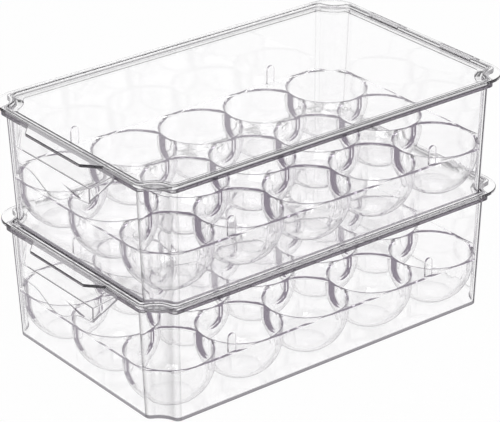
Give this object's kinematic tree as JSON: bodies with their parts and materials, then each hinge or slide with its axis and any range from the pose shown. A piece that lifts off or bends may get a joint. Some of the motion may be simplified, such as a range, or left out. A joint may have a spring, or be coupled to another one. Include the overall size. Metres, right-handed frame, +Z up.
{
  "type": "egg keeper",
  "caption": "Clear stackable egg keeper: bin with a handle hood, lift-out egg tray and flip lid, shown as a stack of two.",
  "frame": {"origin": "centre of the lower bin's base, on the surface it stands on", "axes": "+X along the bins towards the lids' hinges, handles at -X; +Z up"},
  "size_m": [0.3011, 0.1768, 0.1624],
  "materials": {
    "clear_plastic": "clear, glossy",
    "clear_tray": "clear, glossy",
    "clear_lid": "clear, glossy"
  },
  "bodies": {
    "lower_keeper": {"lower_bin": "clear_plastic"},
    "lower_tray_body": {"lower_tray": "clear_tray"},
    "lower_lid_body": {"lower_lid": "clear_lid"},
    "upper_keeper": {"upper_bin": "clear_plastic"},
    "upper_tray_body": {"upper_tray": "clear_tray"},
    "upper_lid_body": {"upper_lid": "clear_lid"}
  },
  "joints": [
    {"name": "upper_keeper_lift", "type": "slide", "parent": "lower_keeper", "child": "upper_keeper", "axis": [0, 0, 1], "range_m": [0, 0.599]},
    {"name": "lower_lid_flip", "type": "hinge", "parent": "lower_keeper", "child": "lower_lid_body", "pos_m": [0.1455, 0, 0.0782], "axis": [0, 1, 0], "range_deg": [0, 110]},
    {"name": "lower_tray_lift", "type": "slide", "parent": "lower_keeper", "child": "lower_tray_body", "axis": [0, 0, 1], "range_m": [0, 0.081]},
    {"name": "upper_lid_flip", "type": "hinge", "parent": "upper_keeper", "child": "upper_lid_body", "pos_m": [0.1455, 0, 0.1581], "axis": [0, 1, 0], "range_deg": [0, 110]},
    {"name": "upper_tray_lift", "type": "slide", "parent": "upper_keeper", "child": "upper_tray_body", "axis": [0, 0, 1], "range_m": [0, 0.081]}
  ],
  "couplings": [
    {"joint": "lower_lid_flip", "follows": "upper_keeper_lift", "rad_per_m": 3.2},
    {"joint": "lower_tray_lift", "follows": "upper_keeper_lift", "ratio": 0.135},
    {"joint": "upper_tray_lift", "follows": "upper_lid_flip", "m_per_rad": 0.042}
  ]
}
